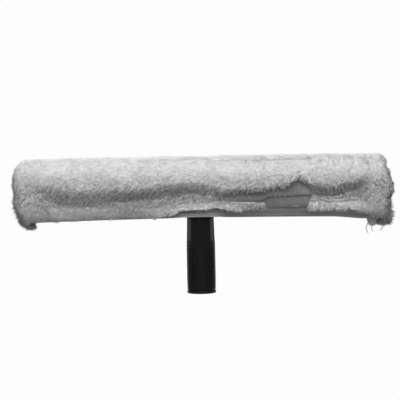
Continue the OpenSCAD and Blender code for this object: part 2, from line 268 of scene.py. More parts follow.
# Along the bar, four levels: the valley, the flap's plush edge, the lip's top under the bare
# cloth and the lining's lower edge. Then the run over which the bulge rises from the valley,
# how much of the hem shows, the lip's middle above the plush's lower edge, how deep the valley
# is and how full the lip is
valley_height = course(
    (-230, 130), (-202, 124), (-178, 112), (-148, 106), (-118, 107), (-98, 112), (-60, 114),
    (-34, 118), (-10, 120), (16, 117), (26, 110), (48, 109), (90, 110), (128, 117), (155, 115),
    (178, 121), (200, 128), (240, 134)
)
flap_edge = course(
    (10, 118), (25, 119.5), (34, 122), (54, 121.8), (75, 122.8), (86, 125), (96, 126),
    (106, 129.5), (117, 134.5), (125, 132), (130, 127), (140, 121)
)
lip_top = course((18, 121), (30, 110), (56, 108), (72, 105), (91, 94), (124, 93), (129, 104), (133, 120))
lining_edge = course((10, 121), (22, 117), (31, 108.5), (72, 109), (84, 113.5), (140, 114.5))
bulge_rise = course((-240, 20), (-150, 23), (-120, 22), (-90, 15), (-30, 16), (10, 15), (120, 14), (240, 12))
hem_shows = course(
    (-240, 3), (-196, 4.6), (-150, 4.8), (-60, 4.6), (-10, 6.4), (28, 9.4), (128, 9.3), (144, 9.7),
    (172, 9.6), (196, 7.8), (214, 5), (240, 3.8)
)
lip_middle = course((-240, -2), (-150, -1.5), (-80, -4), (-60, -2.5), (30, -2.5), (240, -1))
valley_depth = course(
    (-240, 0), (-203, 0), (-166, 1), (-20, 1), (2, 0.75), (13, 0.5), (21, 0.85), (27, 1), (184, 1),
    (206, 0), (240, 0)
)
lip_fullness = course(
    (-240, 0.9), (-150, 0.9), (-110, 0.85), (-80, 0.65), (-50, 1), (20, 1.2), (40, 1.1), (56, 0.45),
    (70, 0.15), (124, 0.3), (132, 1.1), (240, 1.15)
)

# A ridge of plush that runs down to the hem near the left end
RIDGE_X = -181.0
RIDGE_LEVEL = 112.0
RIDGE_LEAN = 0.86
RIDGE_HALF = 9.0
RIDGE_HEIGHT = 3.6
RIDGE_TOP = 116.0
RIDGE_RUN = 14.0
RIDGE_FOOT = 5.0


def front_pile(u, s):
    """The front's plush: a bulge over the valley, the lip under it and a plain slope where both end."""
    low = HEM_LEVEL + hem_shows(u)
    body = VALLEY_PILE + (PILE - VALLEY_PILE) * ease((s - valley_height(u) + VALLEY_LEAD) / bulge_rise(u))
    fullness = LIP_PILE * lip_fullness(u) * (1 + LIP_PUFFS * noise_over((u, 0, 0), 9, 15))
    wave = LIP_WAVES * noise_over((u, 0, 0), 15, 16)
    lip = (fullness - VALLEY_PILE) * bump((s - low - lip_middle(u) - wave) / LIP_HALF)
    closed = HEM_PILE + (LOW_PILE - HEM_PILE) * ease((s - low + HEM_SUNK) / HEM_RUN)
    on_flap = ease(inside_flap(u) / FLAP_RIM) * ease((s - VALLEY_LEVEL + FLAP_RIM) / FLAP_RIM)
    body = body + FLAP_LIFT * on_flap * ease((SPRING_LEVEL + TOP_RUN - s) / TOP_RUN)
    across = (u - RIDGE_X + RIDGE_LEAN * (s - RIDGE_LEVEL)) / RIDGE_HALF
    ridge = bump(across) * ease((RIDGE_TOP - s) / RIDGE_RUN) * ease((s - low + 1) / RIDGE_FOOT)
    return closed + valley_depth(u) * (body + lip - closed) + RIDGE_HEIGHT * ridge


def back_pile(s):
    return HEM_PILE + (PILE - HEM_PILE) * ease((LINE_LENGTH - s - HEM_TOP + BACK_SUNK) / BACK_SLOPE)


def pile(u, s):
    """Height of the plush above the cloth."""
    full = np.where(s < CREST, front_pile(u, s), back_pile(s))
    sewn = END_HEM_PILE + (LOW_PILE - END_HEM_PILE) * ease((height_of(s) - HEM_LEVEL) / END_SLOPE)
    full = full + ease(past_wall(u) / END_RUN) * (sewn - full)
    y, z = cloth_line(np.clip(u, LEFT_WALL, RIGHT_WALL), s)
    swell = BROAD_SWELL * noise_over((u, y, z), 26, 3) + FINE_SWELL * noise_over((u, y, z), 9, 4)
    return full + swell * np.minimum(full / PILE, 1)


# How each end draws in past its wall, and how far it reaches by height
ENDS = (
    {
        "wall": LEFT_WALL, "side": -1, "reach": 13.4, "middle": 126.5, "power": 0.72, "lumps": 0.6,
        "push": course(
            (84, -10), (94, -7.5), (103, -4.3), (109, -2.4), (120, -2.9), (127, -1.8), (138, -1.1),
            (145, -0.9), (150, -2.2), (156, -3.6), (164, -4.8)
        ),
    },
    {
        "wall": RIGHT_WALL, "side": 1, "reach": 11.4, "middle": 123.0, "power": 0.52, "lumps": 1.4,
        "push": course(
            (84, -3), (90, -5.2), (98, -5.4), (108, -6.6), (114, -5.4), (119, -2.2), (124, -2.3),
            (132, -4.4), (140, -6), (150, -7.1), (164, -7.8)
        ),
    },
)
LEAN_RUN = 34.0
RIM_CELL = 3.6
RIM_FROM = 2.0
RIM_RUN = 8.0


def place(u, s, n):
    """The point (u, s, n) in space, over the body of the sleeve and its two ends."""
    u, s, n = np.broadcast_arrays(np.asarray(u, float), np.asarray(s, float), np.asarray(n, float))
    x = np.clip(u, LEFT_WALL, RIGHT_WALL)
    y, z = skin(x, s, n)
    sunk = np.clip(pile(u, s) - n, -3, PILE)
    for end in ENDS:
        past = end["side"] * (u - end["wall"])
        over = np.clip(past, 0, END_ARC)
        turn = over / END_ARC * math.pi / 2
        drawn = np.maximum(np.cos(turn), 1e-6) ** end["power"]
        y = y * drawn
        z = np.where(over > 0, end["middle"] + (z - end["middle"]) * drawn, z)
        x = x + end["side"] * np.where(over > 0, (end["reach"] - sunk) * np.sin(turn), 0)
        near = ease((past + LEAN_RUN) / LEAN_RUN)
        lumps = end["lumps"] * noise_over((9 * end["side"], 0.2 * y, z), RIM_CELL, 57)
        lumps = lumps * ease((past - RIM_FROM) / RIM_RUN)
        x = x + end["side"] * (near * end["push"](z) + lumps)
    return np.stack([x, y, z], axis=-1)


def outward(u, s):
    """Unit normals of the plush's outer face."""
    step = 0.6
    along = place(u + step, s, pile(u + step, s)) - place(u - step, s, pile(u - step, s))
    across = place(u, s + step, pile(u, s + step)) - place(u, s - step, pile(u, s - step))
    return unit(np.cross(along, across))


# Masks, from 0 where there is no plush to 1 where it stands fully

MASK_EDGE = 3.0
SIDE_EDGE = 0.6
SIDE_OVERLAP = 1.6
SLACK = 0.01
BARE_LEFT = 27.0
BARE_RIGHT = 133.0
BARE_TOP = VALLEY_LEVEL + 2
BACK_HEM_SHOWS = 6.0
HEM_STEEP = 2.2
FLAP_PLUSH_TOP = 152.0


def rise(distance):
    return np.clip(distance / MASK_EDGE, 0, 1)


def hem_mask(u, s):
    """Clear of the hem tapes between the walls, with a ragged edge."""
    shows = np.where(s < CREST, hem_shows(u), BACK_HEM_SHOWS)
    jag = 1.1 * noise_over((u, s, 0), 5.5, 8) + 0.6 * noise_over((u, s, 0), 2.2, 9)
    clear = rise(HEM_STEEP * (height_of(s) - HEM_LEVEL - shows + jag))
    return np.maximum(clear, rise(past_wall(u) + 2.0))


def root_mask(u, s):
    """Plush that stays on the bar: clear of the flap and of the bare cloth below it."""
    within = np.minimum(inside_flap(u), np.minimum(s - VALLEY_LEVEL, FLAP_PLUSH_TOP - s))
    above = (s >= FLAP_PLUSH_TOP - SLACK) | (inside_flap(u) < 0)
    clear_of_flap = np.where(above, 1.0, np.clip((SIDE_OVERLAP - within) / SIDE_EDGE, 0, 1))
    bare = np.minimum.reduce([u - BARE_LEFT, BARE_RIGHT - u, BARE_TOP - s, s - lip_top(u)])
    bare_mask = 1 - np.where(s < CREST, rise(bare + 1.5), 0)
    return hem_mask(u, s) * clear_of_flap * bare_mask


def flap_mask(u, s):
    """Plush of the flap and of the strip above its fold."""
    below = s - np.maximum(VALLEY_LEVEL, flap_edge(u))
    return np.where((inside_flap(u) > -SLACK) & (s < FLAP_PLUSH_TOP + SLACK), rise(below + 1), 0)


# Materials

# Name of the point attribute that holds the plush's painted shade and its random tone
TONE_AND_SHADE = "tone_and_shade"


def add_node(tree, kind, inputs, **settings):
    """A new node: an input given a socket is linked to it, any other is set to its value."""
    node = tree.nodes.new(kind)
    for name, value in settings.items():
        setattr(node, name, value)
    for key, value in inputs.items():
        if isinstance(value, bpy.types.NodeSocket):
            tree.links.new(value, node.inputs[key])
        else:
            node.inputs[key].default_value = value
    return node


def shader_of(name, colour, roughness, specular=0.5):
    """A new material, its node tree and the inputs of its Principled shader."""
    made = bpy.data.materials.new(name)
    made.use_nodes = True
    inputs = made.node_tree.nodes["Principled BSDF"].inputs
    inputs["Base Color"].default_value = (*colour, 1)
    inputs["Roughness"].default_value = roughness
    inputs["Specular IOR Level"].default_value = specular
    return made, made.node_tree, inputs


def object_coordinates(tree):
    return tree.nodes.new("ShaderNodeTexCoord").outputs["Object"]


def noise_node(tree, where, scale, detail):
    """Noise over the coordinates where, in swings per metre."""
    return add_node(
        tree, "ShaderNodeTexNoise", {"Vector": where, "Scale": scale, "Detail": detail}
    ).outputs["Fac"]


def ramp_node(tree, source, low, high, colours):
    """Turns a factor between low and high into a mix of two colours."""
    ramp = add_node(tree, "ShaderNodeValToRGB", {"Fac": source})
    for k, position in enumerate((low, high)):
        ramp.color_ramp.elements[k].position = position
        ramp.color_ramp.elements[k].color = (*colours[k], 1)
    return ramp.outputs["Color"]


def bump_node(tree, inputs, source, strength, distance):
    """Gives the shader with these inputs a bump, its distance in millimetres."""
    heights = {"Height": source, "Strength": strength, "Distance": distance * MM}
    tree.links.new(add_node(tree, "ShaderNodeBump", heights).outputs["Normal"], inputs["Normal"])


def calculated(tree, operation, a, b):
    return add_node(tree, "ShaderNodeMath", {0: a, 1: b}, operation=operation).outputs["Value"]


def multiplied(tree, a, b):
    """The product of two colours."""
    inputs = {"Factor": 1, "A": a, "B": b}
    return add_node(tree, "ShaderNodeMix", inputs, data_type="RGBA", blend_type="MULTIPLY").outputs["Result"]


def weave_height(tree, where, pitch):
    """Crossed threads as a height, one pitch apart along x and z."""
    inputs = {"Vector": where, "Scale": math.pi / 10 / (pitch * MM), "Distortion": 0.6, "Detail": 1}
    waves = [
        add_node(tree, "ShaderNodeTexWave", inputs, bands_direction=way).outputs["Fac"] for way in ("X", "Z")
    ]
    return calculated(tree, "MULTIPLY", *waves)


def plush_material():
    """White plush, a little uneven at random, and darker where the points' attribute carries painted shade
    and random tone.
    """
    made, tree, inputs = shader_of("plush", (0.86, 0.86, 0.85), 0.95, 0.2)
    strand_noise = noise_node(tree, object_coordinates(tree), 420, 3)
    white = ramp_node(tree, strand_noise, 0.3, 0.7, ((0.86, 0.86, 0.85), (0.94, 0.94, 0.93)))
    tone_and_shade = add_node(tree, "ShaderNodeAttribute", {}, attribute_name=TONE_AND_SHADE)
    tree.links.new(multiplied(tree, white, tone_and_shade.outputs["Color"]), inputs["Base Color"])
    return made


def cloth_material(name, dark, light, pitch, depth=0.25):
    """Woven cloth between two colours, a little uneven in its shade."""
    made, tree, inputs = shader_of(name, light, 0.9, 0.25)
    where = object_coordinates(tree)
    threads = weave_height(tree, where, pitch)
    tint = ramp_node(tree, threads, 0.0, 0.7, (dark, light))
    shade = ramp_node(tree, noise_node(tree, where, 60, 3), 0.3, 0.75, ((0.82, 0.82, 0.82), (1, 1, 1)))
    tree.links.new(multiplied(tree, tint, shade), inputs["Base Color"])
    bump_node(tree, inputs, threads, 0.8, depth)
    return made


def plastic_material(name, colour, roughness, grain, depth):
    """Black moulded plastic with a fine grain and a little unevenness in its gloss."""
    made, tree, inputs = shader_of(name, colour, roughness, 0.08)
    where = object_coordinates(tree)
    broad = noise_node(tree, where, 45, 4)
    worn = tuple(1.9 * c for c in colour)
    tree.links.new(ramp_node(tree, broad, 0.35, 0.8, (colour, worn)), inputs["Base Color"])
    gloss = {"Value": broad, "To Min": roughness - 0.08, "To Max": roughness + 0.1}
    tree.links.new(add_node(tree, "ShaderNodeMapRange", gloss).outputs["Result"], inputs["Roughness"])
    bump_node(tree, inputs, noise_node(tree, where, grain, 2), 0.35, depth)
    return made


def metal_material(name, colour, roughness):
    """Metal with fine lines along the bar."""
    made, tree, inputs = shader_of(name, colour, roughness)
    inputs["Metallic"].default_value = 1
    stretch = {"Vector": object_coordinates(tree), "Scale": (0.06, 1, 1)}
    stretched = add_node(tree, "ShaderNodeMapping", stretch).outputs["Vector"]
    bump_node(tree, inputs, noise_node(tree, stretched, 1500, 2), 0.2, 0.03)
    return made


plush = plush_material()
# Painted light: the corner rags are the ground cloth in a lighter colour, making up for the shade they hang
# in
lit_corner_cloth = cloth_material("lit_corner_cloth", (0.7, 0.7, 0.69), (0.92, 0.92, 0.91), 0.9)
ground_cloth = cloth_material("ground_cloth", (0.42, 0.42, 0.41), (0.62, 0.62, 0.61), 0.9)
hem_cloth = cloth_material("hem_cloth", (0.37, 0.37, 0.365), (0.57, 0.57, 0.565), 0.7)
loop_cloth = cloth_material("loop_cloth", (0.21, 0.21, 0.21), (0.31, 0.31, 0.31), 1.1)
hook_cloth = cloth_material("hook_cloth", (0.2, 0.2, 0.205), (0.3, 0.3, 0.305), 0.9)
lining_cloth = cloth_material("lining_cloth", (0.27, 0.27, 0.27), (0.41, 0.41, 0.405), 0.8)
thread = cloth_material("thread", (0.42, 0.42, 0.42), (0.6, 0.6, 0.59), 0.4, 0.08)
hook_thread = cloth_material("hook_thread", (0.16, 0.16, 0.165), (0.26, 0.26, 0.265), 0.5, 0.05)
handle_plastic = plastic_material("handle_plastic", (0.005, 0.005, 0.0054), 0.42, 2400, 0.05)
grip_rubber = plastic_material("grip_rubber", (0.006, 0.006, 0.0064), 0.6, 3400, 0.08)
cap_plastic = plastic_material("cap_plastic", (0.02, 0.02, 0.022), 0.5, 2000, 0.05)
bar_metal = metal_material("bar_metal", (0.7, 0.71, 0.73), 0.35)
screw_metal = metal_material("screw_metal", (0.6, 0.6, 0.62), 0.3)

NODE_MATERIALS = {
    "handle_body": handle_plastic,
    "grip_panels": grip_rubber,
    "crossbar": bar_metal,
    "end_cap_left": cap_plastic,
    "end_cap_right": cap_plastic,
    "yoke_screws": screw_metal,
    "yoke_nuts": screw_metal,
}


def dress_nodes():
    """Gives the rigid nodes their materials."""
    for name, made in NODE_MATERIALS.items():
        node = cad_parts[name]
        node.data.materials.clear()
        node.data.materials.append(made)


# Meshes

MAP_NAME = "OFBake"


def mesh_object(
    name, points, quads, tris, made, quad_uv=None, tri_uv=None, smooth=True, normals=None, tone_and_shade=None
):
    """An object from arrays of points, four-cornered and three-cornered faces."""
    quads = np.asarray(quads, np.int32).reshape(-1, 4)
    tris = np.asarray(tris, np.int32).reshape(-1, 3)
    points = np.asarray(points).reshape(-1, 3)
    mesh = bpy.data.meshes.new(name)
    mesh.vertices.add(len(points))
    mesh.vertices.foreach_set("co", (points * MM).astype(np.float32).ravel())
    mesh.loops.add(quads.size + tris.size)
    mesh.loops.foreach_set("vertex_index", np.concatenate([quads.ravel(), tris.ravel()]))
    mesh.polygons.add(len(quads) + len(tris))
    starts = np.concatenate([4 * np.arange(len(quads)), quads.size + 3 * np.arange(len(tris))])
    mesh.polygons.foreach_set("loop_start", starts.astype(np.int32))
    mesh.polygons.foreach_set("use_smooth", np.full(len(quads) + len(tris), smooth))
    if quad_uv is not None:
        parts = [np.asarray(quad_uv, np.float32).ravel()]
        if tri_uv is not None:
            parts.append(np.asarray(tri_uv, np.float32).ravel())
        layer = mesh.uv_layers.new(name=MAP_NAME)
        layer.uv.foreach_set("vector", np.concatenate(parts))
    mesh.update(calc_edges=True)
    mesh.validate()
    if tone_and_shade is not None:
        mesh.attributes.new(TONE_AND_SHADE, "FLOAT", "POINT").data.foreach_set("value", tone_and_shade.astype(np.float32).ravel())
    if normals is not None:
        mesh.normals_split_custom_set_from_vertices(normals.reshape(-1, 3).astype(np.float32))
    mesh.materials.append(made)
    return in_scene(name, mesh)


def grid_quads(columns, rows, keep):
    """Faces of a grid of columns times rows points, where keep is true."""
    i, j = np.nonzero(keep)
    a = i * rows + j
    return np.stack([a, a + rows, a + rows + 1, a + 1], axis=-1)


def spaced(low, high, step):
    return np.linspace(low, high, max(2, round((high - low) / step) + 1))


def plain_grid(u_low, u_high, s_low, s_high, u_step, s_step):
    return np.meshgrid(spaced(u_low, u_high, u_step), spaced(s_low, s_high, s_step), indexing="ij")


def two_faced(name, outer, inner, made):
    """A closed sheet from two grids of points, joined along their rims."""
    columns, rows, _ = outer.shape
    count = columns * rows
    quads = grid_quads(columns, rows, np.ones((columns - 1, rows - 1), bool))
    edges = np.concatenate([quads[:, [k, (k + 1) % 4]] for k in range(4)])
    keys = edges.min(1).astype(np.int64) * count + edges.max(1)
    _, found, uses = np.unique(keys, return_index=True, return_counts=True)
    start, end = edges[found[uses == 1]].T
    walls = np.stack([end, start, start + count, end + count], axis=-1)
    points = np.stack([outer, inner])
    return mesh_object(name, points, np.concatenate([quads, quads[:, ::-1] + count, walls]), [], made)


def level(n):
    """A sheet's face that keeps to the height n above the cloth."""
    return lambda u, s: 0 * u + n


def on_cloth(u, s, n):
    """The point (u, s, n) in space, between the walls."""
    return np.stack([u, *skin(u, s, n)], axis=-1)


def sheet_solid(name, grid, low, high, made):
    """A closed sheet between the heights low(u, s) and high(u, s) over a grid of places."""
    return two_faced(name, *(on_cloth(*grid, height(*grid)) for height in (high, low)), made)


def ring_quads(rings, sides):
    """Faces between rings of points that follow each other along a tube."""
    quads = []
    for k in range(rings - 1):
        for i in range(sides):
            a, b = k * sides + i, k * sides + (i + 1) % sides
            quads.append([a, b, b + sides, a + sides])
    return quads


def spokes(along, across, sides):
    """Unit directions round a strand that runs along, the first of them across."""
    angles = 2 * math.pi * np.arange(sides)[:, None] / sides
    return np.cos(angles) * across[..., None, :] + np.sin(angles) * np.cross(along, across)[..., None, :]


TUBE_SIDES = 4
TUBE_ENDS = 0.45


def tubes(name, paths, radius, made):
    """Round threads along paths, an array of (thread, point, xyz), closed at both ends."""
    paths = np.asarray(paths, float)
    count, steps, _ = paths.shape
    tangent = unit(np.gradient(paths, axis=1))
    aside = unit(np.cross(tangent, np.array([0.31, 0.87, 0.38])))
    width = np.full(steps, float(radius))
    width[[0, -1]] *= TUBE_ENDS
    points = paths[:, :, None] + spokes(tangent, aside, TUBE_SIDES) * width[None, :, None, None]
    last = (steps - 1) * TUBE_SIDES
    quads = ring_quads(steps, TUBE_SIDES) + [[3, 2, 1, 0], [last, last + 1, last + 2, last + 3]]
    offsets = steps * TUBE_SIDES * np.arange(count)[:, None, None]
    return mesh_object(name, points, np.array(quads)[None] + offsets, [], made)


def smooth_path(points, steps):
    """A smooth line of so many points through the given ones."""
    points = np.asarray(points, float)
    places = np.linspace(0, 1, len(points))
    found = np.linspace(0, 1, steps)
    ends = np.vstack([2 * points[0] - points[1], points, 2 * points[-1] - points[-2]])
    k = np.clip(np.searchsorted(places, found, side="right") - 1, 0, len(points) - 2)
    t = ((found - places[k]) * (len(points) - 1))[:, None]
    a, b, c, d = ends[k], ends[k + 1], ends[k + 2], ends[k + 3]
    curve = 2 * b + (c - a) * t + (2 * a - 5 * b + 4 * c - d) * t ** 2 + (3 * b - a - 3 * c + d) * t ** 3
    return 0.5 * curve


SOFTNESS = 0.96
MAP_FILL = 0.9


def strands(name, roots, normals, first, last, lengths, radii, tones_and_shades, sides, rings):
    """Many curved, tapered plush strands in one mesh: each leaves its root along first and has
    bent towards last at its tip. The shading leans to the plush's own outer face."""
    count = len(roots)
    times = np.array([*rings, 1.0])
    bends = (times ** 2 / 2)[None, :, None]
    middle = roots[:, None] + lengths[:, None, None] * (
        first[:, None] * times[None, :, None] + (last - first)[:, None] * bends
    )
    across = unit(np.cross(first, rng.normal(size=(count, 3))))
    around = spokes(first, across, sides)
    width = radii[:, None] * (1 - np.array(rings)[None] ** 2.4) ** 0.6
    ring_points = middle[:, :-1, None] + width[:, :, None, None] * around[:, None]
    points = np.concatenate([ring_points.reshape(count, -1, 3), middle[:, -1:]], axis=1)
    faced = np.broadcast_to(around[:, None], ring_points.shape).reshape(count, -1, 3)
    faced = np.concatenate([faced, last[:, None]], axis=1)
    shading = unit((1 - SOFTNESS) * faced + SOFTNESS * normals[:, None])
    along = np.append(np.repeat(times[:-1], sides), 1.0)
    # Each strand's colour runs from its root's painted shade to its tip's
    tone_and_shade = tones_and_shades[0][:, None] + (tones_and_shades[1] - tones_and_shades[0])[:, None] * along ** 0.8
    per = sides * len(rings) + 1
    quad_uv = [
        [[i, low], [i + MAP_FILL, low], [i + MAP_FILL, high], [i, high]]
        for low, high in zip(times[:-2], times[1:-1]) for i in range(sides)
    ]
    last_ring = per - 1 - sides
    tris = [[last_ring + i, last_ring + (i + 1) % sides, per - 1] for i in range(sides)]
    tri_uv = [[[i, times[-2]], [i + MAP_FILL, times[-2]], [i + MAP_FILL / 2, 1]] for i in range(sides)]
    offsets = per * np.arange(count)[:, None, None]
    cells = math.ceil(math.sqrt(count))
    corner = np.stack([np.arange(count) % cells, np.arange(count) // cells], axis=-1)

    def mapped(local):
        local = np.array(local, float) * MAP_FILL / [sides, 1]
        return (corner[:, None, None] + local[None]) / cells

    return mesh_object(
        name, points, np.array(ring_quads(len(rings), sides))[None] + offsets,
        np.array(tris)[None] + offsets, plush, mapped(quad_uv), mapped(tri_uv),
        normals=shading, tone_and_shade=tone_and_shade
    )


# The plush's pieces

SECTIONS = 10
S_LOW = HEM_LEVEL
S_HIGH = LINE_LENGTH - HEM_LEVEL
BASE_SHARE = 0.8
ROOT_SHARE = 0.66
GRID = 1.0
SCATTER_GRID = 2.0
LEAST_MASK = 0.15
CLUMP = 3.6
CLUMP_STRETCH = 1.5
CLUMP_TURN = np.array(Matrix.Rotation(-0.75, 3, "Y") @ Matrix.Rotation(0.4, 3, "X"))
LUMP_HEIGHT = 2.0
LUMP_SUNK = 0.7
LUMP_LOSS = 0.88
LUMP_TOP = 128.0
LUMP_RUN = 16.0
# Painted shade on the plush: darker roots, darker hollows between clumps, darker from the front's bulge down
# and at the ends, with less of it on much of the lip
ROOT_SHADE = 0.42
HOLLOW_SHADE = 0.36
TONE_SPREAD = 0.13
SHADE_TOP = 121.0
SHADE_RUN = 26.0
END_SHADE = 0.6
END_SHADE_TOP = 140.0
END_SHADE_RUN = 16.0
LIP_LEVEL = 3.0
LIP_SHADE_LIFT_HALF = 11.0
# How much of the painted shade is lifted off the lip, along the bar
lip_shade_lift = course(
    (-240, 1), (-165, 1), (-150, 0.7), (-60, 0.75), (-45, 1), (48, 1), (58, 0), (124, 0), (134, 1),
    (195, 1), (210, 0.7), (240, 0.7)
)


def clump_pull(points, cell=CLUMP, seed=31):
    """From each point towards the middle of its clump, in clump widths."""
    warp = np.stack([noise(points, 1.9 * cell, seed + 5 + k) for k in range(3)], axis=-1)
    turned = (points + 0.9 * cell * warp) @ CLUMP_TURN.T / cell / [1, 1, CLUMP_STRETCH]
    corner = np.floor(turned)
    jitter = np.stack([noise(corner * 7.31 + 3.7 * k, 1.0, seed + k) for k in range(3)], axis=-1)
    return (corner + 0.5 + 0.4 * jitter - turned) @ CLUMP_TURN


def clump_hill(points, cell=CLUMP, seed=31):
    """1 in the middle of a clump and falling to 0 between clumps."""
    return ease(1.15 - 1.3 * np.linalg.norm(clump_pull(points, cell, seed), axis=-1))


def base_height(u, s, mask):
    """Height of the felted layer in which the tufts stand."""
    full = pile(u, s)
    point = place(u, s, full).reshape(-1, 3)
    lumps = clump_hill(point) + 0.5 * clump_hill(point, 0.6 * CLUMP, 61) - LUMP_SUNK
    lumps = LUMP_HEIGHT * lumps.reshape(np.shape(u)) * lump_share(u, s)
    return (BASE_SHARE * full + lumps) * ease(mask) ** 0.5


def shade_depth(u, s, shade_lift=0.0):
    """How deep the painted shade on the plush is: from 0 over the top to 1 from the front's bulge down,
    and up to END_SHADE at the ends. The lip may be given less of it."""
    height = height_of(s)
    on_lip = bump((height - HEM_LEVEL - hem_shows(u) - LIP_LEVEL) / LIP_SHADE_LIFT_HALF)
    low = (1 - ease((height - SHADE_TOP) / SHADE_RUN)) * (1 - shade_lift * on_lip)
    # Painted shade at the ends, fading out over the top
    ends = END_SHADE * ease((past_wall(u) + 2) / 10) * (1 - ease((height - END_SHADE_TOP) / END_SHADE_RUN))
    return np.maximum(low, ends)


def lump_share(u, s):
    """The clumps are shallow over the top, and deep from the front's bulge down and at the ends."""
    return np.maximum(1 - LUMP_LOSS * ease((height_of(s) - LUMP_TOP) / LUMP_RUN), ease(past_wall(u) / 8))


def plush_base(name, u_range, s_range, mask_of, floor):
    """The felted layer of a region, with its rims turned down to the cloth or to a floor over it."""
    us, ss = spaced(*u_range, GRID), spaced(*s_range, GRID)
    if floor > 0:
        us = np.concatenate([us[:1], us, us[-1:]])
    u, s = np.meshgrid(us, ss, indexing="ij")
    mask = mask_of(u, s)
    height = np.maximum(base_height(u, s, mask), floor)
    if floor > 0:
        height[[0, -1]] = floor
    cells = np.maximum.reduce([mask[:-1, :-1], mask[1:, :-1], mask[:-1, 1:], mask[1:, 1:]]) > 0
    quads = grid_quads(*u.shape, cells)
    plane = np.meshgrid(*(np.linspace(0, 1, size) for size in u.shape), indexing="ij")
    plane = np.stack(plane, axis=-1).reshape(-1, 2)
    # Painted shade in the felt's colour: darker from the front's bulge down and at the ends, most in the
    # hollows between clumps, with less on much of the lip
    hollow = 1 - clump_hill(place(u, s, pile(u, s)).reshape(-1, 3))
    return mesh_object(
        name, place(u, s, height), quads, [], plush, plane[quads],
        normals=outward(u, s),
        tone_and_shade=1 - shade_depth(u, s, lip_shade_lift(u)).ravel() * (0.22 + 0.3 * hollow)
    )


def scattered(per_thousand, u_range, s_range, mask_of):
    """Random places (u, s) spread evenly over the plush's outer face, so many per 1000 square mm."""
    u, s = plain_grid(*u_range, *s_range, SCATTER_GRID, SCATTER_GRID)
    point = place(u, s, pile(u, s))
    along = point[1:, :-1] - point[:-1, :-1]
    across = point[:-1, 1:] - point[:-1, :-1]
    area = np.linalg.norm(np.cross(along, across), axis=-1)
    mask = mask_of((u[:-1, :-1] + u[1:, 1:]) / 2, (s[:-1, :-1] + s[1:, 1:]) / 2)
    weight = (area * (mask > LEAST_MASK)).ravel()
    total = weight.sum()
    chosen = rng.choice(len(weight), size=int(per_thousand * total / 1000), p=weight / total)
    i, j = np.unravel_index(chosen, area.shape)
    found_u = u[i, j] + (u[1, 0] - u[0, 0]) * rng.random(len(i))
    found_s = s[i, j] + (s[0, 1] - s[0, 0]) * rng.random(len(j))
    found_mask = mask_of(found_u, found_s)
    kept = found_mask > LEAST_MASK
    return found_u[kept], found_s[kept], found_mask[kept]


LEAN_DOWN = 0.75
LEAN_ASIDE = 0.3
LEAN_ON_TOP = 0.3
PULL = 0.6
COMB_HIGH = -0.5
COMB_MOST = -0.9
SHORTEST = 4.4
comb_aside = course((-240, 0), (-205, -0.2), (-160, -0.75), (-60, -0.7), (0, -0.5), (50, -0.1), (240, -0.15))


def strand_ways(u, s, roots, normals, wild):
    """Directions at the root and at the tip: out of the cloth, then down and aside."""
    down = np.array([0, 0, -1.0]) + normals * normals[:, 2:]
    side = np.cross(normals, unit(down + 1e-6))
    comb = np.maximum(comb_aside(u) + COMB_HIGH * ease((s - 128) / 14), COMB_MOST)
    sway = LEAN_ASIDE * (noise(roots, 22, 21) + 0.8 * noise(roots, 7, 22)) + comb
    loose = np.stack([noise(roots, 9, 23 + k) for k in range(3)], axis=-1)
    pull = (0.4 + 0.6 * lump_share(u, s))[:, None] * clump_pull(roots)
    steep = np.linalg.norm(down, axis=-1)
    lean = (
        LEAN_DOWN * down + (sway * steep)[:, None] * side + PULL * pull
        + (LEAN_ON_TOP * (1 - steep))[:, None] * loose
    )
    lean -= normals * (lean * normals).sum(1, keepdims=True)
    first = unit(0.8 * normals + 0.4 * lean + wild * 0.5 * rng.normal(size=roots.shape))
    last = unit(0.45 * normals + 1.1 * lean + wild * rng.normal(size=roots.shape))
    return first, last


def plush_strands(name, u_range, s_range, mask_of, per_thousand, radius, stretch, wild, sides, rings):
    """Tufts or single fibres over a region."""
    u, s, mask = scattered(per_thousand, u_range, s_range, mask_of)
    top = pile(u, s)
    normals = outward(u, s)
    sunk = top * ROOT_SHARE * mask
    roots = place(u, s, sunk)
    first, last = strand_ways(u, s, roots, normals, wild)
    uneven = 0.35 + 0.65 * lump_share(u, s)
    tallness = 1 + uneven * (0.22 * noise(roots, 4, 41) + 0.14 * rng.normal(size=len(u)))
    lengths = np.maximum(top - sunk, SHORTEST) * stretch * np.clip(tallness, 0.5, 1.5) * (0.5 + 0.5 * mask)
    radii = radius * (0.7 + 0.6 * rng.random(len(u))) * np.minimum(1, 0.45 + lengths / 12)
    # Painted shade: roots darker from the bulge down and at the ends, whole strands darker in the hollows
    # between clumps, with a random spread of tone on top
    depth = shade_depth(u, s)
    lifted_shade_depth = shade_depth(u, s, lip_shade_lift(u))
    shared = (depth + lifted_shade_depth) / 2
    hollow = 1 - clump_hill(roots)
    spread_and_shade = (1 + TONE_SPREAD * depth * rng.normal(size=len(u))) * (1 - HOLLOW_SHADE * shared * hollow)
    tones_and_shades = np.clip([(1 - ROOT_SHADE * lifted_shade_depth) * spread_and_shade, spread_and_shade], 0, 1.05)
    return strands(name, roots, normals, first, last, lengths, radii, tones_and_shades, sides, rings)


# How many per 1000 square mm, radius, stretch, wildness, sides and where along them the rings lie
STRANDS = {
    "tufts": (420, 0.42, 0.95, 0.08, 4, (0, 0.5, 0.85)),
    "fibres": (2600, 0.2, 1.05, 0.16, 3, (0, 0.6)),
}


def dress_plush(label, u_range, s_range, mask_of, floor=0.0):
    """Base, tufts and fibres of one region, as three objects."""
    return [plush_base(label + "_base", u_range, s_range, mask_of, floor)] + [
        plush_strands(f"{label}_{kind}", u_range, s_range, mask_of, *settings)
        for kind, settings in STRANDS.items()
    ]


SEAM_START = -4.0
SEAM_END = END_ARC - 0.5
SEAM_GRID = (30, 9)
SEAM_BULGE = 0.45
SEAM_LEAST = 3.0
